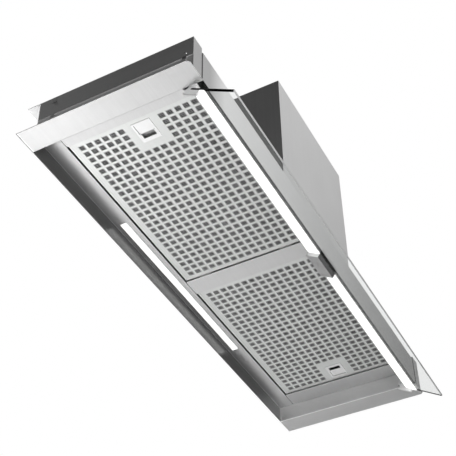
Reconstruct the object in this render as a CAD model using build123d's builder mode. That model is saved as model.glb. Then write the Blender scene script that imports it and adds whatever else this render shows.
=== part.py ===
from build123d import *
import os
from math import cos, radians, sin

os.makedirs("parts", exist_ok=True)

# A ceiling range hood that is let into a cabinet or a false ceiling and hangs from its top plate.
# Millimetres. X runs along the length, Y from the cook's side to the back, Z up.
# The origin is the middle of the four hanging holes, on the upper face of the top plate.

# ---- driving dimensions: body -------------------------------------------------------------
overall_length = 1200.0      # across the two end flanges
overall_depth = 375.0        # front edge to back edge of the flanges
body_height = 86.0           # underside of the flanges to the upper face of the top plate
sheet = 1.5                  # steel sheet of the body
flange_width = 54.0
flange_corner = 6.0          # chamfer of the flanges' front corners
recess_depth = 40.0          # flange underside up to the filters
end_inset = 16.0             # end wall behind the flange's outer edge
back_inset = 33.5            # back wall in front of the flanges' back edge
ledge_inset = 3.5            # top plate's back edge in front of the flanges' back edge
front_strip = 31.0           # the end wall's return beside the front panel
seam_height = 35.0           # joint line on the end wall, above the flange underside
seam_step = 0.7              # the wall's lower part steps back this far behind its upper part
bend = 1.2                   # outer radius of the folds
hem = 8.0                    # inward fold at the top and back of the end wall
hanger_hole_radius = 4.5
hanger_spacing_x = 1040.0
hanger_spacing_y = 260.0
air_cut_length = 300.0       # cut-out of the top plate under the fan
air_cut_depth = 250.0
hold_spacing_x = 210.0       # screws along the tower's front and back folds
hold_spacing_y = 180.0       # screws along the tower's side folds

# ---- driving dimensions: front panel and lights -------------------------------------------
panel_gap = 5.0              # open line between the front panel and the end walls' returns
panel_height = 79.0
panel_step = 0.5             # the panel's face behind the flanges' front edge
panel_box = 13.0             # depth of the folded front panel
light_inner = 4.2            # visor light strip, measured across the glass from its inner edge
light_outer = 33.0
light_thickness = 1.5
strip_wall = 1.0             # wall of the light strip beside its groove
strip_end = 3.0              # groove's end to the end clamp
tape_thickness = 0.6
tape_margin = 1.0            # tape's edges to the groove's walls
rear_light_length = 514.0
rear_light_width = 15.0
rear_light_back = 12.3       # behind the rear light, to the flanges' back edge
rear_light_height = 16.0
rear_light_wall = 1.2
diffuser_lip = 0.8
led_board_thickness = 1.0

# ---- driving dimensions: filters and latches ----------------------------------------------
filter_length = 470.0
filter_depth = 296.6
filter_thickness = 14.0
filter_sheet = 1.0
rear_strip = 40.0            # depth of the recess's rear strip
joint_gap = 1.5              # open line between the rear strip and the filter frame
rear_gap = 3.1               # open line between the rear strip and the filters
bar_width = 48.2             # crossbar between the two filters
bar_gap = 2.0                # open line between crossbar and filter
side_gap = 0.7
rim_height = 12.0
rim_thickness = 1.2
rim_round = 0.5              # round of the openings' edges
plate_overlap = 15.0         # joint plates over the filter frame
plate_margin = 6.0           # joint plates' ends to the opening and to the end wall
hole_size = 12.2
hole_pitch = 18.13
hole_columns = 25
hole_rows = 15
latch_columns = 4            # columns and rows that the latch takes out of the pattern
latch_rows = 4
latch_first_row = 5
bezel_length = 51.0
bezel_depth = 42.0
bezel_margin = 11.0          # filter's outer edge to the bezel
bezel_wall = 3.5
bezel_height = 5.8
thumb_length = 26.0
thumb_depth = 36.0
thumb_window = 34.0          # opening of the bezel below the thumb slide
finger_window = 28.4
ledge_gap = 0.1
bezel_overlap = 1.0          # bezel's flange past the sheet's cut-out
thumb_thickness = 4.0
thumb_recess = 1.6
latch_travel = 7.0
bolt_width = 12.0
bolt_thickness = 2.5
bolt_reach = 0.3             # bolt past the filter's outer edge, in the line beside the frame
tab_width = 30.0             # tabs on which a filter hangs and turns
tab_reach = 12.0
tab_spacing = 200.0
tab_inset = 1.0              # tab's end to the edge of the hem that it lies on
hem_height = 1.5             # folded edge of the crossbar under the tabs
back_slot_columns = 12
back_slot_rows = 7
back_margin = 20.0
back_bar = 12.0
pack_gap = 2.0               # mesh pack round the bezel
mesh_thickness = 0.5
pleat_count = 39
pleat_thickness = 1.0        # upright, so about half as much across the sheet
bezel_lip = 0.8              # bezel's flange under the face sheet
bezel_roof = 1.5
finger_play = 5.5            # room left for the finger when the thumb slide is drawn back

# ---- driving dimensions: visor --------------------------------------------------------------
visor_length = 1086.0
visor_depth = 103.0
glass_thickness = 4.0
glass_edge = 0.6
clamp_round = 2.0
visor_angle = 31.5           # below level, as it stands in use
visor_inner_y = 26.5         # glass's inner edge behind the flanges' front edge
visor_inner_drop = 2.5       # and below the flange underside
pivot_y = 37.5               # pivot behind the flanges' front edge
pivot_height = 6.0           # pivot above the flange underside
pivot_radius = 2.5
ear_radius = 6.0
clamp_length = 5.0
clamp_inner = 13.0           # clamp past the glass's inner edge
clamp_outer = 22.0
clamp_thickness = 10.0
clamp_pad = 0.2              # between clamp and glass
clamp_upper = 5.5            # thickness of the short jaw above the glass
clamp_upper_reach = 9.4
cover_length = 78.0          # centre cover between the two light strips
cover_inner = 2.0
cover_outer = 33.4
cover_thickness = 10.0
cover_wall = 1.5
cover_edge = 0.5
cover_screw_radius = 1.6
cover_screw_height = 0.8
cover_screw_inset = 4.5      # screw to the cover's edges
joint_board_inset = 8.0      # joint board's ends to the cover's ends
joint_board_margin = 5.0
joint_board_thickness = 3.0
bush_radius = 5.0
bush_flange_radius = 7.5
bush_flange = 2.0
bush_length = 5.0

# ---- driving dimensions: fan housing, fan and duct ------------------------------------------
tower_length = 350.0
tower_depth = 300.0
tower_height = 320.5
tower_front = 12.5           # tower's front face behind the flanges' front edge
tower_sheet = 1.2
tower_foot = 15.0            # inward fold that the tower stands on
scroll_width = 172.0
scroll_radius = 118.0
scroll_wall = 1.5
scroll_throat = 152.0
scroll_centre_y = -26.0
scroll_centre_z = 124.0
scroll_foot = 14.0
inlet_radius = 80.0
impeller_radius = 92.0
impeller_width = 150.0
blade_count = 28
blade_depth = 15.0
blade_thickness = 1.2
blade_angle = 25.0
ring_thickness = 2.0
hub_radius = 14.0
shaft_radius = 4.0
shaft_clearance = 0.05
motor_radius = 46.0
motor_length = 66.0
spider_thickness = 3.0
spider_rim = 12.0
spider_arm = 14.0
spider_hub = 32.0
ring_rim = 10.0
motor_round = 6.0
shaft_depth = 46.0           # shaft's bore in the motor
collar_radius = 75.0
collar_wall = 1.5
collar_length = 50.0
collar_flange = 13.0
collar_flange_thickness = 2.0
flap_height = 12.0           # flap pin above the collar's base
flap_thickness = 1.5
flap_clearance = 0.7
flap_pin_radius = 2.0
knuckle_radius = 4.0
knuckle_count = 6
knuckle_root = 1.0           # flap's plate and the knuckles' arms share this much
knuckle_room = 4.0           # between the knuckles and the stop ring's ends
stop_width = 3.5
stop_gap = 0.1

# ---- driving dimensions: electrics and fixings ----------------------------------------------
control_length = 200.0
control_depth = 120.0
control_height = 46.0
control_wall = 2.0
control_x = -390.0
driver_length = 150.0
driver_depth = 46.0
driver_height = 28.0
driver_x = 360.0
gland_radius = 9.0
gland_bore = 4.2
gland_length = 22.0
gland_stem = 6.0
gland_tube = 7.2
gland_nut = 4.0
control_post = 8.0           # box's outer faces to the middle of its screw posts
post_radius = 4.8
board_edge = 17.6            # box's outer faces to the control board's edges
board_foot_inset = 16.5
board_post = 6.0
board_thickness = 1.6
board_parts = (              # place along the board, side and height of its largest parts
    (-49.0, 24.0, 19.0),
    (-8.0, 16.0, 13.0),
    (20.5, 12.0, 10.0),
    (49.0, 18.0, 14.0),
)
driver_tab = 3.0
driver_tab_reach = 12.0
driver_tab_width = 23.0
screw_radius = 2.0
screw_head_radius = 4.0
screw_head_height = 2.2
screw_length = 6.0
screw_play = 0.1
clip_width = 8.0
clip_height = 13.0
clip_rise = 4.0
clip_sheet = 0.8
clip_places = (              # place along the end wall and above the flange underside
    (118.0, 73.0),
    (118.0, 32.0),
    (-169.0, 31.0),
)
side_screw_place = (-171.0, 47.0)
side_screw_height = 1.2

# ---- clearances --------------------------------------------------------------------------------
seat_gap = 0.3               # between pieces that only rest near each other
fit_gap = 0.2                # piece dropped into a cut-out
slide_gap = 0.35             # moving latch in its bezel
pin_clearance = 0.05
cut_past = 1.0               # how far a cut reaches past the solid that it opens

# ---- places worked out from the sizes ----------------------------------------------------------
half_length = overall_length / 2
front_y = -overall_depth / 2
back_y = overall_depth / 2
underside = -body_height
ceiling = underside + recess_depth
recess_x = half_length - flange_width
end_x = half_length - end_inset
back_wall_y = back_y - back_inset
ledge_y = back_y - ledge_inset
panel_y = front_y + panel_step
lip_y = panel_y + panel_box
front_wall_y = lip_y - sheet
joint_y = back_y - rear_strip
frame_back = joint_y - joint_gap
filter_back = joint_y - rear_gap
filter_front = filter_back - filter_depth
filter_inner = bar_width / 2 + bar_gap
filter_outer = filter_inner + filter_length
filter_base = ceiling + sheet + hem_height
hole_margin_x = (filter_length - (hole_columns - 1) * hole_pitch) / 2
hole_margin_y = (filter_depth - (hole_rows - 1) * hole_pitch) / 2
latch_y = filter_front + hole_margin_y + (latch_first_row + (latch_rows - 1) / 2) * hole_pitch
bezel_x1 = filter_outer - bezel_margin
bezel_x0 = bezel_x1 - bezel_length
thumb_x1 = bezel_x1 - bezel_wall - slide_gap
thumb_x0 = thumb_x1 - thumb_length
thumb_base = filter_base - bezel_lip + thumb_recess
finger_room = latch_travel + finger_play
ledge_width = (thumb_depth - thumb_window) / 2
cut_inset = bezel_overlap - fit_gap
bolt_base = filter_base + filter_sheet + slide_gap / 2
pivot_at = (front_y + pivot_y, underside + pivot_height)
tower_y0 = front_y + tower_front
tower_y1 = tower_y0 + tower_depth
tower_middle = (tower_y0 + tower_y1) / 2
foot_x = tower_length / 2 - tower_foot / 2
foot_y = tower_depth / 2 - tower_foot / 2
hold_places = []
for fold_x, fold_y in ((foot_x, hold_spacing_y / 2), (hold_spacing_x / 2, foot_y)):
    for x_sign in (-1, 1):
        for y_sign in (-1, 1):
            hold_places.append((x_sign * fold_x, tower_middle + y_sign * fold_y))
duct_y = scroll_centre_y + scroll_radius - scroll_throat / 2


def block(low, high, mode=Mode.ADD):
    """A box from its lowest to its highest corner, in the part that is being built."""
    middle = [(a + b) / 2 for a, b in zip(low, high)]
    size = [b - a for a, b in zip(low, high)]
    with Locations(tuple(middle)):
        Box(*size, mode=mode)


# ================================ body of sheet steel ===========================================

with BuildPart() as top_plate:
    block((-end_x, front_y, -sheet), (end_x, ledge_y, 0))
    block(
        (-end_x + front_strip, front_y, -sheet),
        (end_x - front_strip, front_wall_y, 0),
        Mode.SUBTRACT,
    )
    with Locations((0, tower_middle, -sheet / 2)):
        Box(air_cut_length, air_cut_depth, sheet, mode=Mode.SUBTRACT)
    with BuildSketch(Plane.XY):
        with GridLocations(hanger_spacing_x, hanger_spacing_y, 2, 2):
            Circle(hanger_hole_radius)
        with Locations(*hold_places):
            Circle(screw_radius + screw_play)
    extrude(amount=-sheet, mode=Mode.SUBTRACT)
top_plate.part.label = "top_plate"
export_step(top_plate.part, "parts/top_plate.step")

for side, name in ((-1, "left"), (1, "right")):
    with BuildPart() as end_wall:
        with BuildSketch(Plane.XY.offset(underside + sheet)):
            with BuildLine():
                Polyline(
                    (end_x - hem, back_wall_y),
                    (end_x, back_wall_y),
                    (end_x, front_y),
                    (end_x - front_strip, front_y),
                    (end_x - front_strip, front_y + sheet),
                    (end_x - sheet, front_y + sheet),
                    (end_x - sheet, back_wall_y - sheet),
                    (end_x - hem, back_wall_y - sheet),
                    close=True,
                )
            make_face()
        extrude(amount=body_height - 2 * sheet)
        corners = end_wall.edges().filter_by(Axis.Z)
        fillet(corners.filter_by_position(Axis.X, end_x - bend / 2, end_x + bend / 2), bend)
        block(
            (end_x - seam_step, front_y, underside + sheet),
            (end_x, back_wall_y, underside + seam_height),
            Mode.SUBTRACT,
        )
        if side < 0:
            mirror(about=Plane.YZ, mode=Mode.REPLACE)
    end_wall.part.label = name + "_end_wall"
    export_step(end_wall.part, "parts/" + name + "_end_wall.step")

with BuildPart() as back_wall:
    block((-end_x + hem, back_wall_y - sheet, ceiling + sheet), (end_x - hem, back_wall_y, -sheet))
back_wall.part.label = "back_wall"
export_step(back_wall.part, "parts/back_wall.step")

with BuildPart() as front_wall:
    block(
        (-end_x + sheet, front_wall_y, underside + sheet),
        (end_x - sheet, front_wall_y + sheet, -sheet),
    )
front_wall.part.label = "front_wall"
export_step(front_wall.part, "parts/front_wall.step")

# The front panel is a shallow tray: its face, a lip below, a lip above and short ends.
with BuildPart() as front_panel:
    panel_top = underside + panel_height
    panel_half = end_x - front_strip - panel_gap
    block((-panel_half, panel_y, underside), (panel_half, front_wall_y, panel_top))
    block(
        (-panel_half + sheet, panel_y + sheet, underside + sheet),
        (panel_half - sheet, front_wall_y, panel_top - sheet),
        Mode.SUBTRACT,
    )
    folds = front_panel.edges().filter_by_position(Axis.Y, panel_y - bend / 2, panel_y + bend / 2)
    fillet(folds, bend)
    block(
        (-recess_x + fit_gap, front_wall_y, underside),
        (recess_x - fit_gap, lip_y, underside + sheet - seat_gap),
    )
    for side in (-1, 1):        # room for the flanges
        near_x, far_x = sorted((side * (recess_x - fit_gap), side * half_length))
        block(
            (near_x, panel_y - cut_past, underside),
            (far_x, lip_y, underside + sheet + fit_gap),
            Mode.SUBTRACT,
        )
front_panel.part.label = "front_panel"
export_step(front_panel.part, "parts/front_panel.step")

# The recess tray carries the two end flanges, the recess's end walls, its back and its rear strip.
with BuildPart() as recess_tray:
    for side in (-1, 1):
        with BuildSketch(Plane.XY.offset(underside)):
            with BuildLine():
                Polyline(
                    (side * recess_x, back_y),
                    (side * half_length, back_y),
                    (side * half_length, front_y + flange_corner),
                    (side * (half_length - flange_corner), front_y),
                    (side * recess_x, front_y),
                    close=True,
                )
            make_face()
        extrude(amount=sheet)
        block(
            (min(side * recess_x, side * (recess_x + sheet)), front_wall_y + sheet, underside),
            (max(side * recess_x, side * (recess_x + sheet)), back_y, ceiling + sheet),
        )
    block((-recess_x, joint_y, ceiling), (recess_x, back_y, ceiling + sheet))
    block((-recess_x, back_y - sheet, underside), (recess_x, back_y, ceiling + sheet))
    rear_light_y = back_y - rear_light_back - rear_light_width / 2
    with Locations((0, rear_light_y, ceiling + sheet / 2)):
        Box(
            rear_light_length + 2 * fit_gap,
            rear_light_width + 2 * fit_gap,
            sheet,
            mode=Mode.SUBTRACT,
        )
    with BuildSketch(Plane.YZ.offset(-half_length)):
        with Locations(pivot_at):
            Circle(bush_radius + pin_clearance)
    extrude(amount=overall_length, mode=Mode.SUBTRACT)
    low_folds = recess_tray.edges().filter_by(Axis.Y).filter_by_position(
        Axis.Z, underside - bend / 2, underside + bend / 2)
    inner_folds = []
    for fold in low_folds:
        if abs(abs(fold.center().X) - recess_x) < bend:
            inner_folds.append(fold)
    fillet(inner_folds, bend)
recess_tray.part.label = "recess_tray"
export_step(recess_tray.part, "parts/recess_tray.step")

# The filter frame is the recess's ceiling around the two filters.
with BuildPart() as filter_frame:
    frame_x = recess_x - fit_gap
    frame_front = front_wall_y + sheet + fit_gap
    block((-frame_x, frame_front, ceiling), (frame_x, frame_back, ceiling + sheet))
    for side in (-1, 1):
        opening_x0 = bar_width / 2
        opening_x1 = filter_outer + side_gap
        opening_y0 = filter_front - side_gap
        near_x, far_x = sorted((side * opening_x0, side * opening_x1))
        block((near_x, opening_y0, ceiling), (far_x, frame_back, ceiling + sheet), Mode.SUBTRACT)
    rounded = []
    for edge in filter_frame.edges().filter_by_position(Axis.Z, ceiling - rim_round, ceiling):
        if abs(edge.center().X) <= opening_x1 and opening_y0 <= edge.center().Y < frame_back:
            rounded.append(edge)
    fillet(rounded, rim_round)
    for side in (-1, 1):
        near_x, far_x = sorted((side * (opening_x0 - tab_reach), side * opening_x0))
        block(
            (near_x, opening_y0, ceiling + sheet),
            (far_x, frame_back, ceiling + sheet + hem_height),
        )
    block(
        (-opening_x1, opening_y0 - rim_thickness, ceiling + sheet),
        (opening_x1, opening_y0, ceiling + rim_height),
    )
filter_frame.part.label = "filter_frame"
export_step(filter_frame.part, "parts/filter_frame.step")

with BuildPart() as joint_plates:
    plate_x0 = opening_x1 + plate_margin
    plate_x1 = recess_x - plate_margin
    plate_x2 = opening_x0 - tab_reach - seat_gap
    for near_x, far_x in ((-plate_x1, -plate_x0), (-plate_x2, plate_x2), (plate_x0, plate_x1)):
        block(
            (near_x, joint_y - plate_overlap, ceiling + sheet),
            (far_x, back_wall_y - sheet - seat_gap, ceiling + 2 * sheet),
        )
joint_plates.part.label = "joint_plates"
export_step(joint_plates.part, "parts/joint_plates.step")

# Clips that hold the hood in its cut-out, and a screw beside the front one.
with BuildPart() as side_clips:
    for side in (-1, 1):
        for clip_y, clip_up in clip_places:
            x0 = side * end_x
            clip_z = underside + clip_up
            with BuildSketch(Plane.XZ.offset(-clip_y)):
                with BuildLine():
                    Polyline(
                        (x0, clip_z + clip_height / 2),
                        (x0 + side * clip_sheet, clip_z + clip_height / 2),
                        (x0 + side * clip_sheet, clip_z),
                        (x0 + side * clip_rise, clip_z - clip_height / 2),
                        (x0 + side * (clip_rise - clip_sheet), clip_z - clip_height / 2),
                        (x0, clip_z - clip_sheet),
                        close=True,
                    )
                make_face()
            extrude(amount=clip_width / 2, both=True)
        screw_y, screw_up = side_screw_place
        with BuildSketch(Plane.YZ.offset(side * end_x)):
            with Locations((screw_y, underside + screw_up)):
                Circle(screw_radius)
        extrude(amount=side * side_screw_height)
side_clips.part.label = "side_clips"
export_step(side_clips.part, "parts/side_clips.step")

# ================================ rear light =======================================================

strip_top = ceiling + sheet
lamp_half = rear_light_length / 2
lamp_low = rear_light_y - rear_light_width / 2
lamp_high = rear_light_y + rear_light_width / 2
lamp_room = diffuser_lip + fit_gap

with BuildPart() as rear_light_diffuser:
    block((-lamp_half, lamp_low, ceiling), (lamp_half, lamp_high, strip_top + sheet))
    block(
        (-lamp_half - diffuser_lip, lamp_low - diffuser_lip, strip_top),
        (lamp_half + diffuser_lip, lamp_high + diffuser_lip, strip_top + sheet),
    )
rear_light_diffuser.part.label = "rear_light_diffuser"
export_step(rear_light_diffuser.part, "parts/rear_light_diffuser.step")

with BuildPart() as rear_light_channel:
    channel_x = lamp_half + lamp_room
    channel_top = strip_top + rear_light_height
    block(
        (-channel_x - rear_light_wall, lamp_low - lamp_room - rear_light_wall, strip_top),
        (channel_x + rear_light_wall, lamp_high + lamp_room + rear_light_wall, channel_top),
    )
    block(
        (-channel_x, lamp_low - lamp_room, strip_top),
        (channel_x, lamp_high + lamp_room, channel_top - rear_light_wall),
        Mode.SUBTRACT,
    )
rear_light_channel.part.label = "rear_light_channel"
export_step(rear_light_channel.part, "parts/rear_light_channel.step")

with BuildPart() as rear_led_board:
    board_top = channel_top - rear_light_wall
    block(
        (-lamp_half, lamp_low, board_top - led_board_thickness),
        (lamp_half, lamp_high, board_top),
    )
rear_led_board.part.label = "rear_led_board"
export_step(rear_led_board.part, "parts/rear_led_board.step")

# ================================ filters and latches ==============================================

for side, name in ((-1, "left"), (1, "right")):
    face_top = filter_base + filter_sheet
    filter_top = filter_base + filter_thickness
    first_x = filter_inner + hole_margin_x
    first_y = filter_front + hole_margin_y
    holes = []
    for column in range(hole_columns):
        for row in range(hole_rows):
            at_latch = column >= hole_columns - latch_columns
            if at_latch and latch_first_row <= row < latch_first_row + latch_rows:
                continue
            holes.append((first_x + column * hole_pitch, first_y + row * hole_pitch))

    # The face sheet is a tray: pierced face, low rim, and two tabs at the inner end.
    face_middle = ((filter_inner + filter_outer) / 2, (filter_front + filter_back) / 2)
    outline = Wire.make_rect(
        filter_length, filter_depth, Plane((*face_middle, filter_base)))
    pierced = Face(outline, [
        Wire.make_rect(hole_size, hole_size, Plane((*place, filter_base))) for place in holes])
    with BuildPart() as face:
        extrude(pierced, amount=filter_sheet, dir=(0, 0, 1))
        with BuildSketch(Plane.XY.offset(filter_base)):
            with Locations(face_middle):
                Rectangle(filter_length, filter_depth)
                Rectangle(
                    filter_length - 2 * filter_sheet,
                    filter_depth - 2 * filter_sheet,
                    mode=Mode.SUBTRACT,
                )
        extrude(amount=filter_thickness)
        for tab_y in (-tab_spacing / 2, tab_spacing / 2):
            block(
                (opening_x0 - tab_reach + tab_inset, face_middle[1] + tab_y - tab_width / 2,
                 filter_base),
                (filter_inner, face_middle[1] + tab_y + tab_width / 2, face_top),
            )
        block(
            (bezel_x0 + cut_inset, latch_y - bezel_depth / 2 + cut_inset, filter_base),
            (bezel_x1 - cut_inset, latch_y + bezel_depth / 2 - cut_inset, face_top),
            Mode.SUBTRACT,
        )
        block(
            (filter_outer - filter_sheet, latch_y - bolt_width / 2 - slide_gap,
             bolt_base - slide_gap / 2),
            (filter_outer, latch_y + bolt_width / 2 + slide_gap,
             bolt_base + bolt_thickness + slide_gap),
            Mode.SUBTRACT,
        )
        if side < 0:
            mirror(about=Plane.YZ, mode=Mode.REPLACE)
    face.part.label = name + "_filter_face"
    export_step(face.part, "parts/" + name + "_filter_face.step")

    # The pack is a flat mesh under a pleated one.
    with BuildPart() as pack:
        pack_x0 = filter_inner + filter_sheet
        pack_x1 = filter_outer - filter_sheet
        pleat = (pack_x1 - pack_x0) / (2 * pleat_count)
        crest = filter_top - filter_sheet
        trough = face_top + mesh_thickness / 2
        upper = []
        lower = []
        for number in range(2 * pleat_count + 1):
            pleat_x = pack_x0 + number * pleat
            height = trough if number % 2 == 0 else crest - pleat_thickness
            lower.append((pleat_x, height))
            upper.append((pleat_x, height + pleat_thickness))
        block(
            (pack_x0, filter_front + filter_sheet, face_top),
            (pack_x1, filter_back - filter_sheet, face_top + mesh_thickness),
        )
        with BuildSketch(Plane.XZ.offset(-filter_front - filter_sheet)):
            with BuildLine():
                Polyline(*lower, *reversed(upper), close=True)
            make_face()
        extrude(amount=-(filter_depth - 2 * filter_sheet))
        block(
            (bezel_x0 - pack_gap, latch_y - bezel_depth / 2 - pack_gap, face_top),
            (filter_outer, latch_y + bezel_depth / 2 + pack_gap, filter_top),
            Mode.SUBTRACT,
        )
        if side < 0:
            mirror(about=Plane.YZ, mode=Mode.REPLACE)
    pack.part.label = name + "_filter_pack"
    export_step(pack.part, "parts/" + name + "_filter_pack.step")

    with BuildPart() as back_cover:
        block(
            (filter_inner + filter_sheet, filter_front + filter_sheet, filter_top - filter_sheet),
            (filter_outer - filter_sheet, filter_back - filter_sheet, filter_top),
        )
        slot_x = (filter_length - 2 * back_margin) / back_slot_columns
        slot_y = (filter_depth - 2 * back_margin) / back_slot_rows
        with BuildSketch(Plane.XY.offset(filter_top)):
            with Locations(face_middle):
                with GridLocations(slot_x, slot_y, back_slot_columns, back_slot_rows):
                    Rectangle(slot_x - back_bar, slot_y - back_bar)
        extrude(amount=-filter_sheet, mode=Mode.SUBTRACT)
        if side < 0:
            mirror(about=Plane.YZ, mode=Mode.REPLACE)
    back_cover.part.label = name + "_filter_back"
    export_step(back_cover.part, "parts/" + name + "_filter_back.step")

    # The bezel stands on the face sheet's upper side and shows through the sheet's cut-out.
    with BuildPart() as bezel:
        bezel_y0 = latch_y - bezel_depth / 2
        bezel_y1 = latch_y + bezel_depth / 2
        bezel_top = face_top + bezel_height
        block((bezel_x0, bezel_y0, filter_base - bezel_lip), (bezel_x1, bezel_y1, filter_base))
        block(
            (bezel_x0 + bezel_overlap, bezel_y0 + bezel_overlap, filter_base - bezel_lip),
            (bezel_x1 - bezel_overlap, bezel_y1 - bezel_overlap, bezel_top),
        )
        block(
            (thumb_x0 - finger_room, latch_y - thumb_depth / 2 - slide_gap,
             thumb_base - ledge_gap),
            (thumb_x1 + slide_gap, latch_y + thumb_depth / 2 + slide_gap,
             bezel_top - bezel_roof),
            Mode.SUBTRACT,
        )
        block(
            (thumb_x0 + ledge_width, latch_y - thumb_window / 2, filter_base - bezel_lip),
            (thumb_x1 - ledge_width, latch_y + thumb_window / 2, thumb_base),
            Mode.SUBTRACT,
        )
        block(
            (thumb_x0 - finger_room, latch_y - finger_window / 2, filter_base - bezel_lip),
            (thumb_x0 + ledge_width, latch_y + finger_window / 2, thumb_base),
            Mode.SUBTRACT,
        )
        block(
            (thumb_x1, latch_y - bolt_width / 2 - slide_gap, bolt_base - slide_gap),
            (bezel_x1, latch_y + bolt_width / 2 + slide_gap,
             bolt_base + bolt_thickness + slide_gap),
            Mode.SUBTRACT,
        )
        if side < 0:
            mirror(about=Plane.YZ, mode=Mode.REPLACE)
    bezel.part.label = name + "_latch_bezel"
    export_step(bezel.part, "parts/" + name + "_latch_bezel.step")

    with BuildPart() as slider:
        block(
            (thumb_x0, latch_y - thumb_depth / 2, thumb_base),
            (thumb_x1, latch_y + thumb_depth / 2, thumb_base + thumb_thickness),
        )
        block(
            (thumb_x1 - thumb_length / 2, latch_y - bolt_width / 2, thumb_base),
            (filter_outer + bolt_reach, latch_y + bolt_width / 2, bolt_base + bolt_thickness),
        )
        block(
            (thumb_x1, latch_y - bolt_width / 2, thumb_base - thumb_thickness),
            (filter_outer + bolt_reach, latch_y + bolt_width / 2, bolt_base),
            Mode.SUBTRACT,
        )
        if side < 0:
            mirror(about=Plane.YZ, mode=Mode.REPLACE)
    slider.part.label = name + "_latch_slider"
    export_step(slider.part, "parts/" + name + "_latch_slider.step")

# ================================ visor ============================================================

slope = radians(visor_angle)


def visor_point(across, below):
    """Y and Z of a point given across the pane from its inner edge and below its upper face."""
    return (
        front_y + visor_inner_y - across * cos(slope) + below * sin(slope),
        underside - visor_inner_drop - across * sin(slope) - below * cos(slope),
    )


def visor_bar(x0, x1, across0, across1, below0, below1, mode=Mode.ADD):
    """A bar along X, square to the pane, in the part that is being built."""
    corners = ((across0, below0), (across1, below0), (across1, below1), (across0, below1))
    with BuildSketch(Plane.YZ.offset(x0)) as outline:
        with BuildLine():
            Polyline(*[visor_point(*corner) for corner in corners], close=True)
        make_face()
    extrude(outline.sketch, amount=x1 - x0, mode=mode)


visor_half = visor_length / 2
clamp_x0 = visor_half - clamp_length
light_floor = glass_thickness + light_thickness

with BuildPart() as visor_glass:
    visor_bar(-visor_half, visor_half, 0, visor_depth, 0, glass_thickness)
    fillet(visor_glass.edges().filter_by(Axis.X), glass_edge)
visor_glass.part.label = "visor_glass"
export_step(visor_glass.part, "parts/visor_glass.step")

for side, name in ((-1, "left"), (1, "right")):
    with BuildPart() as light_strip:
        visor_bar(cover_length / 2 + fit_gap, visor_half, light_inner, light_outer,
                  glass_thickness, light_floor)
        visor_bar(cover_length / 2 + 2 * fit_gap, clamp_x0 - strip_end,
                  light_inner + strip_wall, light_outer - strip_wall, glass_thickness,
                  glass_thickness + tape_thickness, Mode.SUBTRACT)
        visor_bar(clamp_x0 - fit_gap, visor_half, light_inner, clamp_outer + fit_gap,
                  glass_thickness, light_floor, Mode.SUBTRACT)
        if side < 0:
            mirror(about=Plane.YZ, mode=Mode.REPLACE)
    light_strip.part.label = name + "_light_strip"
    export_step(light_strip.part, "parts/" + name + "_light_strip.step")

    with BuildPart() as led_tape:
        tape_inset = strip_wall + tape_margin
        visor_bar(cover_length / 2 + tape_margin, clamp_x0 - strip_end - tape_margin,
                  light_inner + tape_inset, light_outer - tape_inset, glass_thickness,
                  glass_thickness + tape_thickness)
        if side < 0:
            mirror(about=Plane.YZ, mode=Mode.REPLACE)
    led_tape.part.label = name + "_led_tape"
    export_step(led_tape.part, "parts/" + name + "_led_tape.step")

    # The end clamp grips the pane's inner edge and carries the pivot pin.
    with BuildPart() as clamp:
        visor_bar(clamp_x0, visor_half, -clamp_inner, clamp_outer, -clamp_upper,
                  glass_thickness + clamp_thickness)
        visor_bar(clamp_x0, visor_half, clamp_upper_reach, clamp_outer + cut_past,
                  -clamp_upper - cut_past, glass_thickness, Mode.SUBTRACT)
        visor_bar(clamp_x0, visor_half, -clamp_pad, clamp_outer + cut_past, -clamp_pad,
                  glass_thickness + clamp_pad, Mode.SUBTRACT)
        fillet(clamp.edges().filter_by(Axis.X).sort_by(Axis.Z)[0:2], clamp_round)
        with BuildSketch(Plane.YZ.offset(clamp_x0)):
            with Locations(pivot_at):
                Circle(ear_radius)
        extrude(amount=clamp_length)
        with BuildSketch(Plane.YZ.offset(clamp_x0)):
            with Locations(pivot_at):
                Circle(pivot_radius)
        extrude(amount=clamp_length, mode=Mode.SUBTRACT)
        if side < 0:
            mirror(about=Plane.YZ, mode=Mode.REPLACE)
    clamp.part.label = name + "_end_clamp"
    export_step(clamp.part, "parts/" + name + "_end_clamp.step")

with BuildPart() as centre_cover:
    cover_floor = glass_thickness + cover_thickness
    visor_bar(-cover_length / 2, cover_length / 2, cover_inner, cover_outer, glass_thickness,
              cover_floor)
    fillet(centre_cover.edges().filter_by(Axis.X).sort_by(Axis.Z)[0:2], cover_edge)
    visor_bar(-cover_length / 2 + cover_wall, cover_length / 2 - cover_wall,
              cover_inner + cover_wall, cover_outer - cover_wall, glass_thickness,
              cover_floor - cover_wall, Mode.SUBTRACT)
    for screw_x in (-cover_length / 2 + cover_screw_inset, cover_length / 2 - cover_screw_inset):
        seat = visor_point(cover_inner + cover_screw_inset, cover_floor)
        down = (0, sin(slope), -cos(slope))
        with BuildSketch(Plane((screw_x, *seat), x_dir=(1, 0, 0), z_dir=down)) as screw_head:
            Circle(cover_screw_radius)
        extrude(screw_head.sketch, amount=cover_screw_height)
centre_cover.part.label = "centre_cover"
export_step(centre_cover.part, "parts/centre_cover.step")

with BuildPart() as joint_board:
    visor_bar(-cover_length / 2 + joint_board_inset, cover_length / 2 - joint_board_inset,
              cover_inner + joint_board_margin, cover_outer - joint_board_margin,
              glass_thickness, glass_thickness + joint_board_thickness)
joint_board.part.label = "joint_board"
export_step(joint_board.part, "parts/joint_board.step")

pin_end = recess_x + bush_length
with BuildPart() as pivot_pins:
    for side in (-1, 1):
        with BuildSketch(Plane.YZ.offset(side * clamp_x0)):
            with Locations(pivot_at):
                Circle(pivot_radius)
        extrude(amount=side * (pin_end - clamp_x0))
pivot_pins.part.label = "pivot_pins"
export_step(pivot_pins.part, "parts/pivot_pins.step")

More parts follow.
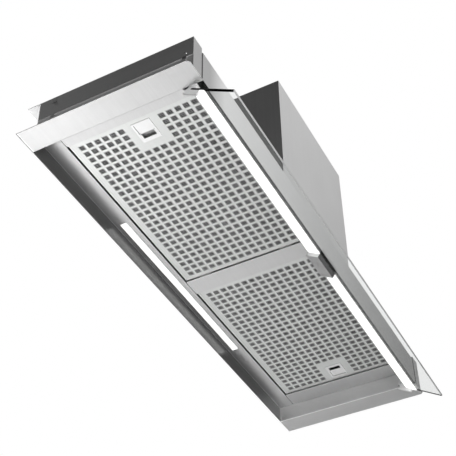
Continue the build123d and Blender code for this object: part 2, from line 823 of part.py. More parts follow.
with BuildPart() as pivot_bushes:
    for side in (-1, 1):
        with BuildSketch(Plane.YZ.offset(side * (recess_x - bush_flange))):
            with Locations(pivot_at):
                Circle(bush_flange_radius)
        extrude(amount=side * bush_flange)
        with BuildSketch(Plane.YZ.offset(side * recess_x)):
            with Locations(pivot_at):
                Circle(bush_radius)
        extrude(amount=side * bush_length)
        with BuildSketch(Plane.YZ.offset(side * (recess_x - bush_flange))):
            with Locations(pivot_at):
                Circle(pivot_radius + pin_clearance)
        extrude(amount=side * (bush_flange + bush_length), mode=Mode.SUBTRACT)
pivot_bushes.part.label = "pivot_bushes"
export_step(pivot_bushes.part, "parts/pivot_bushes.step")

# ================================ fan housing and fan ===============================================

tower_top = tower_height - tower_sheet

with BuildPart() as tower_shell:
    block((-tower_length / 2, tower_y0, 0), (tower_length / 2, tower_y1, tower_top))
    block(
        (-tower_length / 2 + tower_sheet, tower_y0 + tower_sheet, tower_sheet),
        (tower_length / 2 - tower_sheet, tower_y1 - tower_sheet, tower_top - tower_sheet),
        Mode.SUBTRACT,
    )
    block(
        (-tower_length / 2 + tower_foot, tower_y0 + tower_foot, 0),
        (tower_length / 2 - tower_foot, tower_y1 - tower_foot, tower_top),
        Mode.SUBTRACT,
    )
    with BuildSketch(Plane.XY):
        with Locations(*hold_places):
            Circle(screw_radius + screw_play)
    extrude(amount=tower_top, mode=Mode.SUBTRACT)
tower_shell.part.label = "tower_shell"
export_step(tower_shell.part, "parts/tower_shell.step")

collar_screw_places = []
for x_sign in (-1, 1):
    for y_sign in (-1, 1):
        reach = (collar_radius + collar_flange / 2) * cos(radians(45))
        collar_screw_places.append((x_sign * reach, duct_y + y_sign * reach))
scroll_screw_places = []
for x_sign in (-1, 1):
    for y_sign in (-1, 1):
        scroll_screw_places.append((
            x_sign * (scroll_width / 2 + scroll_foot / 2),
            duct_y + y_sign * (scroll_throat / 2 + scroll_foot / 2),
        ))

with BuildPart() as tower_lid:
    block((-tower_length / 2, tower_y0, tower_top), (tower_length / 2, tower_y1, tower_height))
    with BuildSketch(Plane.XY.offset(tower_top)):
        with Locations((0, duct_y)):
            Circle(collar_radius - collar_wall)
        with Locations(*hold_places, *collar_screw_places, *scroll_screw_places):
            Circle(screw_radius + screw_play)
    extrude(amount=tower_sheet, mode=Mode.SUBTRACT)
tower_lid.part.label = "tower_lid"
export_step(tower_lid.part, "parts/tower_lid.step")

flap_z = tower_height + collar_flange_thickness + flap_height
with BuildPart() as duct_collar:
    with BuildSketch(Plane.XY.offset(tower_height)):
        with Locations((0, duct_y)):
            Circle(collar_radius + collar_flange)
    extrude(amount=collar_flange_thickness)
    with BuildSketch(Plane.XY.offset(tower_height)):
        with Locations((0, duct_y)):
            Circle(collar_radius)
    extrude(amount=collar_length)
    with BuildSketch(Plane.XY.offset(tower_height)):
        with Locations((0, duct_y)):
            Circle(collar_radius - collar_wall)
    extrude(amount=collar_length, mode=Mode.SUBTRACT)
    with BuildSketch(Plane.XY.offset(flap_z - flap_thickness / 2 - stop_gap)):
        with Locations((0, duct_y)):
            Circle(collar_radius - collar_wall)
            Circle(collar_radius - collar_wall - stop_width, mode=Mode.SUBTRACT)
            Rectangle(
                2 * collar_radius,
                2 * (knuckle_radius + knuckle_room),
                mode=Mode.SUBTRACT,
            )
    extrude(amount=-collar_wall)
    with BuildSketch(Plane.YZ.offset(-collar_radius)):
        with Locations((duct_y, flap_z)):
            Circle(flap_pin_radius)
    extrude(amount=2 * collar_radius, mode=Mode.SUBTRACT)
    with BuildSketch(Plane.XY.offset(tower_height)):
        with Locations(*collar_screw_places):
            Circle(screw_radius + screw_play)
    extrude(amount=collar_flange_thickness, mode=Mode.SUBTRACT)
duct_collar.part.label = "duct_collar"
export_step(duct_collar.part, "parts/duct_collar.step")

with BuildPart() as flap_pin:
    with BuildSketch(Plane.YZ.offset(-collar_radius)):
        with Locations((duct_y, flap_z)):
            Circle(flap_pin_radius)
    extrude(amount=2 * collar_radius)
flap_pin.part.label = "flap_pin"
export_step(flap_pin.part, "parts/flap_pin.step")

flap_radius = collar_radius - collar_wall - flap_clearance
knuckle_pitch = 2 * (flap_radius - flap_clearance) / knuckle_count
plate_start = knuckle_radius + flap_clearance
for toward, name in ((-1, "front"), (1, "rear")):
    with BuildPart() as flap:
        with BuildSketch(Plane.XY.offset(flap_z - flap_thickness / 2)):
            with Locations((0, duct_y)):
                Circle(flap_radius)
            with Locations((0, duct_y - toward * (flap_radius - plate_start))):
                Rectangle(2 * flap_radius, 2 * flap_radius, mode=Mode.SUBTRACT)
        extrude(amount=flap_thickness)
        for number in range(knuckle_count):
            if (number % 2 == 0) != (toward < 0):
                continue
            knuckle_x = (number - (knuckle_count - 1) / 2) * knuckle_pitch
            with BuildSketch(Plane.YZ.offset(knuckle_x)):
                with Locations((duct_y, flap_z)):
                    Circle(knuckle_radius)
                with Locations((duct_y + toward * (plate_start + knuckle_root) / 2, flap_z)):
                    Rectangle(plate_start + knuckle_root, flap_thickness)
                with Locations((duct_y, flap_z)):
                    Circle(flap_pin_radius + pin_clearance, mode=Mode.SUBTRACT)
            extrude(amount=knuckle_pitch / 2 - seat_gap / 2, both=True)
    flap.part.label = name + "_flap"
    export_step(flap.part, "parts/" + name + "_flap.step")

fan_axis = (scroll_centre_y, scroll_centre_z)
throat_y0 = duct_y - scroll_throat / 2
throat_y1 = duct_y + scroll_throat / 2
scroll_half = scroll_width / 2
with BuildPart() as fan_scroll:
    with BuildSketch(Plane.YZ.offset(-scroll_half)):
        with Locations(fan_axis):
            Circle(scroll_radius)
        with Locations((duct_y, (scroll_centre_z + tower_top) / 2)):
            Rectangle(scroll_throat, tower_top - scroll_centre_z)
    extrude(amount=scroll_width)
    block(
        (-scroll_half - scroll_foot, throat_y0 - scroll_foot, tower_top - scroll_wall),
        (scroll_half + scroll_foot, throat_y1 + scroll_foot, tower_top),
    )
    with BuildSketch(Plane.YZ.offset(-scroll_half + scroll_wall)):
        with Locations(fan_axis):
            Circle(scroll_radius - scroll_wall)
        with Locations((duct_y, (scroll_centre_z + tower_top) / 2)):
            Rectangle(scroll_throat - 2 * scroll_wall, tower_top - scroll_centre_z)
    extrude(amount=scroll_width - 2 * scroll_wall, mode=Mode.SUBTRACT)
    with BuildSketch(Plane.YZ.offset(-scroll_half)):
        with Locations(fan_axis):
            Circle(inlet_radius)
    extrude(amount=scroll_width, mode=Mode.SUBTRACT)
    with BuildSketch(Plane.XY.offset(tower_top)):
        with Locations(*scroll_screw_places):
            Circle(screw_radius + screw_play)
    extrude(amount=-scroll_wall, mode=Mode.SUBTRACT)
fan_scroll.part.label = "fan_scroll"
export_step(fan_scroll.part, "parts/fan_scroll.step")

with BuildPart() as inlet_ring:
    with BuildSketch(Plane.YZ.offset(-scroll_half)):
        with Locations(fan_axis):
            Circle(inlet_radius + ring_rim)
    extrude(amount=-ring_thickness)
    with BuildSketch(Plane.YZ.offset(-scroll_half)):
        with Locations(fan_axis):
            Circle(inlet_radius)
    extrude(amount=-ring_rim)
    with BuildSketch(Plane.YZ.offset(-scroll_half)):
        with Locations(fan_axis):
            Circle(inlet_radius - ring_thickness)
    extrude(amount=-ring_rim, mode=Mode.SUBTRACT)
inlet_ring.part.label = "inlet_ring"
export_step(inlet_ring.part, "parts/inlet_ring.step")

impeller_half = impeller_width / 2
with BuildPart() as impeller:
    with BuildSketch(Plane.YZ.offset(-impeller_half)):
        with Locations(fan_axis):
            with PolarLocations(impeller_radius - blade_depth / 2, blade_count):
                Rectangle(blade_depth, blade_thickness, rotation=blade_angle)
    extrude(amount=impeller_width)
    for ring_x in (-impeller_half, impeller_half - ring_thickness):
        with BuildSketch(Plane.YZ.offset(ring_x)):
            with Locations(fan_axis):
                Circle(impeller_radius)
                Circle(impeller_radius - blade_depth, mode=Mode.SUBTRACT)
        extrude(amount=ring_thickness)
    with BuildSketch(Plane.YZ.offset(-ring_thickness / 2)):
        with Locations(fan_axis):
            Circle(impeller_radius)
    extrude(amount=ring_thickness)
    with BuildSketch(Plane.YZ):
        with Locations(fan_axis):
            Circle(hub_radius)
    extrude(amount=hub_radius, both=True)
    with BuildSketch(Plane.YZ):
        with Locations(fan_axis):
            Circle(shaft_radius)
    extrude(amount=impeller_width, both=True, mode=Mode.SUBTRACT)
impeller.part.label = "impeller"
export_step(impeller.part, "parts/impeller.step")

motor_x0 = scroll_half - motor_length
with BuildPart() as fan_motor:
    with BuildSketch(Plane.YZ.offset(motor_x0)):
        with Locations(fan_axis):
            Circle(motor_radius)
    extrude(amount=motor_length)
    fillet(fan_motor.faces().sort_by(Axis.X)[0].edges(), motor_round)
    with BuildSketch(Plane.YZ.offset(motor_x0)):
        with Locations(fan_axis):
            Circle(shaft_radius + shaft_clearance)
    extrude(amount=shaft_depth, mode=Mode.SUBTRACT)
fan_motor.part.label = "fan_motor"
export_step(fan_motor.part, "parts/fan_motor.step")

with BuildPart() as fan_shaft:
    with BuildSketch(Plane.YZ.offset(-hub_radius)):
        with Locations(fan_axis):
            Circle(shaft_radius)
    extrude(amount=hub_radius + motor_x0 + shaft_depth - seat_gap)
fan_shaft.part.label = "fan_shaft"
export_step(fan_shaft.part, "parts/fan_shaft.step")

arm_start = spider_hub / 2
arm_end = inlet_radius + spider_rim / 2
with BuildPart() as motor_spider:
    with BuildSketch(Plane.YZ.offset(scroll_half)):
        with Locations(fan_axis):
            Circle(inlet_radius + spider_rim)
            Circle(inlet_radius, mode=Mode.SUBTRACT)
            Circle(spider_hub)
            with PolarLocations((arm_start + arm_end) / 2, 3, start_angle=90):
                Rectangle(arm_end - arm_start, spider_arm)
    extrude(amount=spider_thickness)
motor_spider.part.label = "motor_spider"
export_step(motor_spider.part, "parts/motor_spider.step")

# ================================ electrics =========================================================

control_x0 = control_x - control_length / 2
control_x1 = control_x + control_length / 2
control_y1 = control_depth / 2
control_floor = control_height - control_wall
with BuildPart() as control_box:
    block((control_x0, -control_y1, 0), (control_x1, control_y1, control_floor))
    block(
        (control_x0 + control_wall, -control_y1 + control_wall, control_wall),
        (control_x1 - control_wall, control_y1 - control_wall, control_floor),
        Mode.SUBTRACT,
    )
    corner_x = control_length / 2 - control_post
    corner_y = control_depth / 2 - control_post
    with BuildSketch(Plane.XY.offset(control_wall)):
        with Locations((control_x, 0)):
            with GridLocations(2 * corner_x, 2 * corner_y, 2, 2):
                Circle(post_radius)
    extrude(amount=control_floor - control_wall)
    with BuildSketch(Plane.XY.offset(control_floor)):
        with Locations((control_x, 0)):
            with GridLocations(2 * corner_x, 2 * corner_y, 2, 2):
                Circle(screw_radius + screw_play)
    extrude(amount=-screw_length, mode=Mode.SUBTRACT)
    with BuildSketch(Plane.YZ.offset(control_x0)):
        with Locations((0, control_height / 2)):
            Circle(gland_stem + screw_play)
    extrude(amount=control_wall, mode=Mode.SUBTRACT)
control_box.part.label = "control_box"
export_step(control_box.part, "parts/control_box.step")

with BuildPart() as control_lid:
    block((control_x0, -control_y1, control_floor), (control_x1, control_y1, control_height))
    with BuildSketch(Plane.XY.offset(control_floor)):
        with Locations((control_x, 0)):
            with GridLocations(2 * corner_x, 2 * corner_y, 2, 2):
                Circle(screw_radius + screw_play)
    extrude(amount=control_wall, mode=Mode.SUBTRACT)
control_lid.part.label = "control_lid"
export_step(control_lid.part, "parts/control_lid.step")

with BuildPart() as control_board:
    board_x = control_length / 2 - board_edge
    board_y = control_depth / 2 - board_edge
    board_z = control_wall + board_post
    block(
        (control_x - board_x, -board_y, board_z),
        (control_x + board_x, board_y, board_z + board_thickness),
    )
    for post_x in (board_foot_inset - board_x, board_x - board_foot_inset):
        with Locations((control_x + post_x, 0, control_wall + board_post / 2)):
            Box(board_post, board_y, board_post)
    for part_x, part_side, part_height in board_parts:
        with Locations((control_x + part_x, 0, board_z + board_thickness + part_height / 2)):
            Box(part_side, part_side, part_height)
control_board.part.label = "control_board"
export_step(control_board.part, "parts/control_board.step")

with BuildPart() as cable_gland:
    with BuildSketch(Plane.YZ.offset(control_x0)):
        with Locations((0, control_height / 2)):
            RegularPolygon(gland_radius, 6)
    extrude(amount=-gland_length / 2)
    with BuildSketch(Plane.YZ.offset(control_x0)):
        with Locations((0, control_height / 2)):
            Circle(gland_tube)
    extrude(amount=-gland_length)
    with BuildSketch(Plane.YZ.offset(control_x0)):
        with Locations((0, control_height / 2)):
            Circle(gland_stem)
    extrude(amount=control_wall)
    with BuildSketch(Plane.YZ.offset(control_x0 + control_wall)):
        with Locations((0, control_height / 2)):
            RegularPolygon(gland_radius, 6)
    extrude(amount=gland_nut)
    with BuildSketch(Plane.YZ.offset(control_x0 + control_wall + gland_nut)):
        with Locations((0, control_height / 2)):
            Circle(gland_bore)
    extrude(amount=-gland_length - control_wall - gland_nut, mode=Mode.SUBTRACT)
cable_gland.part.label = "cable_gland"
export_step(cable_gland.part, "parts/cable_gland.step")

with BuildPart() as led_driver:
    with Locations((driver_x, 0, driver_height / 2)):
        Box(driver_length, driver_depth, driver_height)
    with Locations((driver_x, 0, driver_tab / 2)):
        Box(driver_length + 2 * driver_tab_reach, driver_tab_width, driver_tab)
led_driver.part.label = "led_driver"
export_step(led_driver.part, "parts/led_driver.step")

# ================================ screws ============================================================


def screws(places, seat, length):
    """Round-headed screws that point down, with their heads on a level face."""
    with BuildSketch(Plane.XY.offset(seat)) as heads:
        with Locations(*places):
            Circle(screw_head_radius)
    extrude(heads.sketch, amount=screw_head_height)
    with BuildSketch(Plane.XY.offset(seat)) as shanks:
        with Locations(*places):
            Circle(screw_radius)
    extrude(shanks.sketch, amount=-length)


with BuildPart() as tower_screws:
    screws(hold_places, tower_sheet, screw_length)
tower_screws.part.label = "tower_screws"
export_step(tower_screws.part, "parts/tower_screws.step")

with BuildPart() as lid_screws:
    screws(hold_places, tower_height, screw_length)
    screws(scroll_screw_places, tower_height, screw_length)
    screws(collar_screw_places, tower_height + collar_flange_thickness, screw_length)
lid_screws.part.label = "lid_screws"
export_step(lid_screws.part, "parts/lid_screws.step")

with BuildPart() as control_screws:
    control_corners = []
    for x_sign in (-1, 1):
        for y_sign in (-1, 1):
            control_corners.append((control_x + x_sign * corner_x, y_sign * corner_y))
    screws(control_corners, control_height, screw_length - seat_gap)
control_screws.part.label = "control_screws"
export_step(control_screws.part, "parts/control_screws.step")
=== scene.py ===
import bpy
from math import radians, tau
from mathutils import Matrix, Vector

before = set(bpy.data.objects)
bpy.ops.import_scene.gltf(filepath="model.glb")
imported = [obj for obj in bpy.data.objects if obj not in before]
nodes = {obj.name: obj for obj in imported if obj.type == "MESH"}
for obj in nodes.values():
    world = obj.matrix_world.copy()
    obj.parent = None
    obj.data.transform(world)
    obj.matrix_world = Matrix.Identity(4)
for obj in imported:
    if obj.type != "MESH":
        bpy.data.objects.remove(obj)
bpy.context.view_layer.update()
print("frame loaded:", len(nodes), "nodes")

mixLow, mixHigh, mixResult = 6, 7, 2    # the colour sockets of a Mix node
evenly = (1, 1, 1)                      # a noise that isn't stretched


class Flow:
    def __init__(self, tree, socket):
        self.tree = tree
        self.socket = socket

    def node(self, kind, inputs=(), output=0, **settings):
        made = self.tree.nodes.new(kind)
        for key, value in settings.items():
            setattr(made, key, value)
        pairs = inputs.items() if isinstance(inputs, dict) else enumerate(inputs)
        for key, value in pairs:
            if isinstance(value, Flow):
                self.tree.links.new(value.socket, made.inputs[key])
            else:
                made.inputs[key].default_value = value
        return Flow(self.tree, made.outputs[output])

    def maths(self, operation, *values):
        return self.node("ShaderNodeMath", values, operation=operation)

    def __add__(self, other):
        return self.maths("ADD", self, other)

    def __sub__(self, other):
        return self.maths("SUBTRACT", self, other)

    def __mul__(self, other):
        return self.maths("MULTIPLY", self, other)

    def clamped(self, low, high):
        return self.maths("MINIMUM", self.maths("MAXIMUM", self, low), high)

    def blended(self, low, high):       # low where this value is 0, high where it is 1
        colours = [colour if isinstance(colour, Flow) else (*colour, 1) for colour in (low, high)]
        return self.node(
            "ShaderNodeMix",
            {0: self, mixLow: colours[0], mixHigh: colours[1]},
            mixResult,
            data_type="RGBA",
        )


def newMaterial(name):
    material = bpy.data.materials.new(name)
    material.use_nodes = True
    tree = material.node_tree
    shader = tree.nodes["Principled BSDF"]
    return material, shader, Flow(tree, None)


def feed(flow, shader, values):
    for key, value in values.items():
        if isinstance(value, Flow):
            flow.tree.links.new(value.socket, shader.inputs[key])
        else:
            shader.inputs[key].default_value = value


def objectPoint(flow, stretch=evenly):
    place = flow.node("ShaderNodeTexCoord", (), "Object")
    return flow.node("ShaderNodeVectorMath", (place, stretch), operation="MULTIPLY")


def noise(flow, stretch, scale, detail=2.0):
    return flow.node(
        "ShaderNodeTexNoise",
        {"Vector": objectPoint(flow, stretch), "Scale": scale, "Detail": detail},
    )


def bump(flow, height, strength, distance):
    return flow.node("ShaderNodeBump", {"Strength": strength, "Distance": distance, "Height": height})


def dotProduct(flow, vector, towards):
    return flow.node("ShaderNodeVectorMath", (vector, towards), "Value", operation="DOT_PRODUCT")


def pastPlane(flow, towards, limit):
    reach = dotProduct(flow, objectPoint(flow), towards)
    return reach.maths("GREATER_THAN", reach, limit)


def placeAlong(flow, axis):
    return flow.node("ShaderNodeSeparateXYZ", (objectPoint(flow),), axis)


def grey(value):
    return (value, value, value)


def scaled(colour, factor):
    return tuple(min(1.0, part * factor) for part in colour)


def steel(name, look):
    material, shader, flow = newMaterial(name)
    grain = noise(flow, look["grain"], 1.0, 3.0)        # the brushing
    smudge = noise(flow, evenly, 9.0)
    streak = noise(flow, look["grain"], 0.22, 3.0)      # broader lines along it
    tone = grain * 0.45 + smudge * 0.2 + streak * 0.35
    colour = tone.blended(scaled(look["colour"], 0.89), scaled(look["colour"], 1.09))
    for towards, limit, shade in look.get("paintedLightAndShade", ()):    # painted highlights and shade: another grey past this plane
        colour = pastPlane(flow, towards, limit).blended(colour, grey(shade))
    for start, end, loss in look.get("paintedShadeFades", ()):          # painted shade: darker along X, from start to end
        share = ((placeAlong(flow, "X") - start) * (1 / (end - start))).clamped(0.0, 1.0)
        colour = (share * loss).blended(colour, grey(0.0))
    feed(flow, shader, {
        "Base Color": colour,
        "Metallic": look["metallic"],
        "Roughness": grain * 0.10 + smudge * 0.12 + (look["roughness"] - 0.11),
        "Normal": bump(flow, grain, look["bump"], 0.0004),
    })
    return material


def plastic(name, look):
    material, shader, flow = newMaterial(name)
    cloud = noise(flow, evenly, 60.0)
    pores = noise(flow, evenly, 1400.0, 1.0)
    feed(flow, shader, {
        "Base Color": cloud.blended(scaled(look["colour"], 0.93), scaled(look["colour"], 1.05)),
        "Roughness": cloud * 0.12 + (look["roughness"] - 0.06),
        "Normal": bump(flow, pores, 0.25, 0.0002),
    })
    return material


def lightPlate(name, look):
    material, shader, flow = newMaterial(name)
    cloud = noise(flow, evenly, 40.0)
    feed(flow, shader, {
        "Base Color": (0.95, 0.95, 0.94, 1),
        "Roughness": cloud * 0.1 + 0.3,
        "Emission Color": cloud.blended(look["colour"], scaled(look["colour"], 1.02)),
        "Emission Strength": look["strength"],
    })
    return material


def meshCloth(name, look):
    material, shader, flow = newMaterial(name)
    turns = [placeAlong(flow, axis) * (tau / look["pitch"]) for axis in "XY"]
    waves = [turn.maths("SINE", turn) for turn in turns]
    crests = waves[0].maths("MAXIMUM", waves[0], waves[1]).clamped(look["wireFrom"], 1.0)
    wires = (crests - look["wireFrom"]) * (1 / (1 - look["wireFrom"]))      # 0 in a gap, 1 on a wire
    feed(flow, shader, {
        "Base Color": wires.blended(look["dark"], look["light"]),
        "Metallic": 0.8,
        "Roughness": wires * 0.2 + 0.3,
        "Normal": bump(flow, wires, 0.6, 0.0004),
    })
    return material


def paneGlass(name, look):
    material, shader, flow = newMaterial(name)
    film = noise(flow, evenly, 14.0)
    along = placeAlong(flow, "X")
    # painted shade: the end faces past this X take the black rim colour
    rim = along.maths("GREATER_THAN", along.maths("ABSOLUTE", along), look["half"])
    feed(flow, shader, {
        "Base Color": rim.blended(look["colour"], look["rim"]),
        "Roughness": film * 0.02,
        "IOR": 1.5,
        "Transmission Weight": 1.0,
    })
    glass = Flow(flow.tree, shader.outputs["BSDF"])
    ground = pastPlane(flow, paneDown, paneInner + look["groundEdge"])
    edge = flow.node("ShaderNodeBsdfDiffuse", {"Color": (*look["edge"], 1)})
    edged = flow.node("ShaderNodeMixShader", (ground, glass, edge))
    shadow = flow.node("ShaderNodeLightPath", (), "Is Shadow Ray")
    clear = flow.node("ShaderNodeBsdfTransparent", {"Color": (*look["shade"], 1)})
    whole = flow.node("ShaderNodeMixShader", (shadow, edged, clear))
    flow.tree.links.new(whole.socket, flow.tree.nodes["Material Output"].inputs["Surface"])
    return material


def dress(names, material):
    for name in names:
        slots = nodes[name].data.materials
        slots.clear()
        slots.append(material)


# Grain directions of the brushed sheets, and the directions of the planes.
alongX = (3, 700, 700)
alongY = (700, 3, 700)
alongZ = (700, 700, 3)
toRight, toLeft, toBack, toFront = (1, 0, 0), (-1, 0, 0), (0, 1, 0), (0, -1, 0)
toTop, toFloor = (0, 0, 1), (0, 0, -1)
toRightFront = (0.7071, -0.7071, 0)
paneDown = (0, -0.8526, -0.5225)    # along the pane, from its inner to its outer edge
paneInner = 0.1835                  # the inner edge on that line

sheetLook = {"colour": grey(0.62), "metallic": 0.85, "roughness": 0.34, "bump": 0.12}

dress(
    ("filter_frame", "back_wall", "front_wall", "joint_plates", "top_plate"),
    steel("bodySteel", {**sheetLook, "grain": alongX}),
)

trayLook = {
    **sheetLook,
    "grain": alongX,
    "paintedLightAndShade": (
        (toBack, 0.1842, 1.0),          # painted highlight along the fold of the rear strip
        (toBack, 0.1857, 0.19),         # painted shade: its upright edge painted dark
        (toRight, 0.5458, 1.0),         # painted highlight along the fold of the far flange
        (toRight, 0.5474, 0.58),        # far flange, a little darker as painted shade, which also ends the painted highlight
    ),
}
dress(("recess_tray",), steel("traySteel", trayLook))

panelLook = {
    **sheetLook,
    "colour": grey(0.84),
    "grain": alongX,
    "paintedShadeFades": (
        (-0.46, -0.52, 0.50),           # painted shade, darker towards the near end
        (-0.45, 0.50, 0.62),            # painted shade, darker towards the far end
    ),
    "paintedLightAndShade": (
        (toFloor, 0.0852, 0.05),        # painted shade: the lower fold painted near black
        (toLeft, 0.5476, 1.0),          # painted light on the near edge
    ),
}
dress(("front_panel",), steel("panelSteel", panelLook))

endWallLook = {
    **sheetLook,
    "grain": alongY,
    "paintedLightAndShade": (
        (toFloor, 0.0508, 1.0),         # painted light: white below the seam
        (toFront, 0.1862, 0.38),        # painted shade: darker return beside the front panel
        (toRightFront, 0.5222, 0.02),   # painted shadow of a gap on the edge of the far return
        (toRight, 0.5532, 0.38),        # the rest of the far end wall, in the return's painted shade
    ),
}
dress(("left_end_wall", "right_end_wall"), steel("endWallSteel", endWallLook))

dress(("tower_shell", "tower_lid"), steel("towerSteel", {**sheetLook, "grain": alongZ}))

filterLook = {
    "colour": (0.66, 0.67, 0.66),
    "metallic": 0.85,
    "roughness": 0.32,
    "grain": alongX,
    "bump": 0.1,
}
dress(
    ("left_filter_face", "right_filter_face", "left_filter_back", "right_filter_back"),
    steel("filterSteel", filterLook),
)

meshLook = {"pitch": 0.0041, "wireFrom": 0.6, "dark": grey(0.0), "light": grey(0.55)}
dress(("left_filter_pack", "right_filter_pack"), meshCloth("filterMesh", meshLook))

zincSheetLook = {
    "colour": (0.5, 0.52, 0.53),
    "metallic": 0.8,
    "roughness": 0.42,
    "grain": (90, 90, 90),
    "bump": 0.1,
}
dress(("fan_scroll", "inlet_ring", "motor_spider"), steel("zincSheet", zincSheetLook))

aluminiumLook = {
    "colour": (0.7, 0.7, 0.71),
    "metallic": 0.9,
    "roughness": 0.36,
    "grain": alongX,
    "bump": 0.1,
}
dress(("rear_light_channel", "front_flap", "rear_flap"), steel("bareAluminium", aluminiumLook))

fixingLook = {
    "colour": grey(0.7),
    "metallic": 1.0,
    "roughness": 0.3,
    "grain": (300, 300, 300),
    "bump": 0.05,
}
dress(
    ("side_clips", "tower_screws", "lid_screws", "control_screws", "pivot_pins", "flap_pin",
     "fan_shaft"),
    steel("zincFixings", fixingLook),
)

clampLook = {
    "colour": grey(0.88),
    "metallic": 0.0,
    "roughness": 0.42,
    "grain": (500, 500, 500),
    "bump": 0.08,
}
dress(("left_end_clamp", "right_end_clamp"), steel("clampSilver", clampLook))

coverLook = {
    "colour": grey(0.62),
    "metallic": 0.2,
    "roughness": 0.4,
    "grain": (500, 500, 500),
    "bump": 0.08,
    "paintedLightAndShade": ((paneDown, paneInner + 0.0331, 0.08),),      # painted shade on the outer side face
}
dress(("centre_cover",), steel("coverSilver", coverLook))

latchLook = {
    "colour": grey(0.80),
    "metallic": 0.85,
    "roughness": 0.32,
    "grain": (500, 500, 500),
    "bump": 0.05,
    "slotTop": -0.0405,                 # painted shade: the finger slot is painted dark above this height
    "slotShadeGreys": {"left": 0.30, "right": 0.02},
}
# painted shade in the finger slot: a lighter grey on the near (left) latch, near black on the far
# (right) one
for side, slotShadeGrey in latchLook["slotShadeGreys"].items():
    paintedLightAndShade = ((toTop, latchLook["slotTop"], slotShadeGrey),)
    dress(
        (side + "_latch_bezel", side + "_latch_slider"),
        steel(side + "LatchSteel", {**latchLook, "paintedLightAndShade": paintedLightAndShade}),
    )

lightWhite = (1.0, 1.0, 0.99)
dress(
    ("left_light_strip", "right_light_strip"),
    lightPlate("visorLight", {"colour": lightWhite, "strength": 0.95}),
)
dress(("rear_light_diffuser",), lightPlate("rearLight", {"colour": lightWhite, "strength": 0.75}))

dress(
    ("rear_led_board", "left_led_tape", "right_led_tape", "joint_board"),
    plastic("whiteBoard", {"colour": (0.85, 0.85, 0.82), "roughness": 0.5}),
)
dress(("control_board",), plastic("greenBoard", {"colour": (0.03, 0.16, 0.07), "roughness": 0.4}))
dress(
    ("pivot_bushes", "duct_collar", "impeller", "cable_gland", "led_driver"),
    plastic("darkPlastic", {"colour": (0.03, 0.03, 0.032), "roughness": 0.45}),
)
dress(
    ("control_box", "control_lid"),
    plastic("boxPlastic", {"colour": (0.7, 0.7, 0.69), "roughness": 0.5}),
)
dress(("fan_motor",), plastic("motorBlack", {"colour": (0.05, 0.05, 0.055), "roughness": 0.4}))

paneLook = {
    "colour": (0.95, 0.96, 0.955),
    "shade": (0.88, 0.89, 0.885),       # of the light that falls through the pane
    "half": 0.5402,                     # painted shade: the pane's end faces are painted black past this X
    "rim": grey(0.0),
    "groundEdge": 0.1022,               # the outer edge is ground past this depth of the pane
    "edge": grey(0.6),
}
dress(("visor_glass",), paneGlass("paneGlass", paneLook))
print("materials done")

# Camera: where it stands and its three directions.
cameraLook = {
    "lens": 81.99,
    "sensor": 36.0,
    "farthest": 100.0,
    "place": (-1.5870, -0.7787, -1.5478),
    "right": (0.4688765, -0.88323594, -0.00700723),
    "down": (0.59551698, 0.3219765, -0.73599637),
    "ahead": (0.65231461, 0.34091848, 0.67694921),
}
cameraData = bpy.data.cameras.new("camera")
cameraData.lens = cameraLook["lens"]
cameraData.sensor_width = cameraLook["sensor"]
cameraData.clip_end = cameraLook["farthest"]
camera = bpy.data.objects.new("camera", cameraData)
bpy.context.scene.collection.objects.link(camera)
columns = (
    Vector(cameraLook["right"]),
    -Vector(cameraLook["down"]),
    -Vector(cameraLook["ahead"]),
    Vector(cameraLook["place"]),
)
rows = [[column[axis] for column in columns] for axis in range(3)]
camera.matrix_world = Matrix((*rows, (0, 0, 0, 1)))
bpy.context.scene.camera = camera
bpy.context.scene.view_settings.view_transform = "Standard"

# Floor, well below the hood.
floorLook = {"size": 12.0, "height": -1.9, "dark": grey(0.44), "light": grey(0.47), "roughness": 0.7}
bpy.ops.mesh.primitive_plane_add(size=floorLook["size"], location=(0, 0, floorLook["height"]))
floor = bpy.context.object
floor.name = "floor"
floorMaterial, floorShader, floorFlow = newMaterial("floorPaint")
feed(floorFlow, floorShader, {
    "Base Color": noise(floorFlow, evenly, 3.0).blended(floorLook["dark"], floorLook["light"]),
    "Roughness": floorLook["roughness"],
})
floor.data.materials.append(floorMaterial)

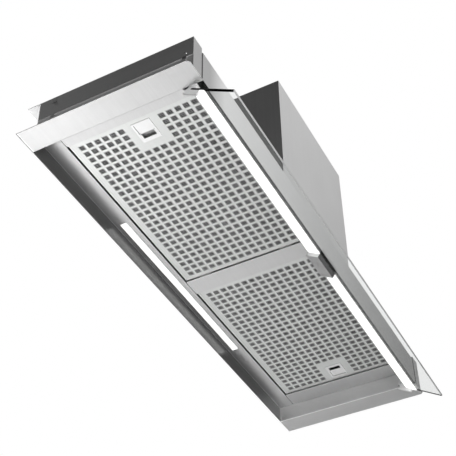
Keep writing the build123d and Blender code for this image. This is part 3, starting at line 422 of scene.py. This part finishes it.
# Sky: two soft glows that light the hood, and white where the camera sees it or through the pane.
skyLook = {
    "frontGlow": {"towards": (0.35, -0.45, 0.82), "start": 0.76, "slope": 4.8, "peak": 0.95},
    "backGlow": {"towards": (-0.35, 0.75, 0.56), "start": 0.88, "slope": 3.0, "peak": 0.35},
    "rest": 0.02,
}
world = bpy.data.worlds.new("world")
world.use_nodes = True
bpy.context.scene.world = world
sky = Flow(world.node_tree, None)
aim = sky.node("ShaderNodeTexCoord", (), "Generated")


def lobe(look):
    rise = (dotProduct(sky, aim, look["towards"]) - look["start"]) * look["slope"]
    return rise.clamped(0.0, look["peak"])


glow = lobe(skyLook["frontGlow"]) + lobe(skyLook["backGlow"]) + skyLook["rest"]
skyColour = sky.node("ShaderNodeCombineXYZ", (glow, glow, glow))
seen = sky.node("ShaderNodeLightPath", (), "Is Camera Ray")
through = sky.node("ShaderNodeLightPath", (), "Is Transmission Ray")
background = world.node_tree.nodes["Background"]
white = seen.maths("MAXIMUM", seen, through).blended(skyColour, grey(1.0))
world.node_tree.links.new(white.socket, background.inputs["Color"])
background.inputs["Strength"].default_value = 1.0


def areaLight(name, look):
    data = bpy.data.lights.new(name, "AREA")
    data.spread = radians(look["spread"])
    data.shape = "DISK"
    data.size = look["size"]
    data.energy = look["power"]
    lamp = bpy.data.objects.new(name, data)
    lamp.location = look["place"]
    aimed = Vector(look["target"]) - Vector(look["place"])
    lamp.rotation_euler = aimed.to_track_quat("-Z", "Y").to_euler()
    bpy.context.scene.collection.objects.link(lamp)


areaLight("keyLight", {
    "place": (-1.6, -1.6, -0.9), "target": (-0.3, 0, 0), "size": 1.2, "power": 30, "spread": 180,
})
areaLight("floorLight", {
    "place": (0.3, 2.2, -0.5), "target": (0.5, 1.3, -1.9), "size": 1.0, "power": 80, "spread": 120,
})
areaLight("farFloorLight", {
    "place": (2.9, 2.3, 0.6), "target": (2.9, 1.2, -1.9), "size": 1.0, "power": 20, "spread": 70,
})
print("camera, floor and lights done")
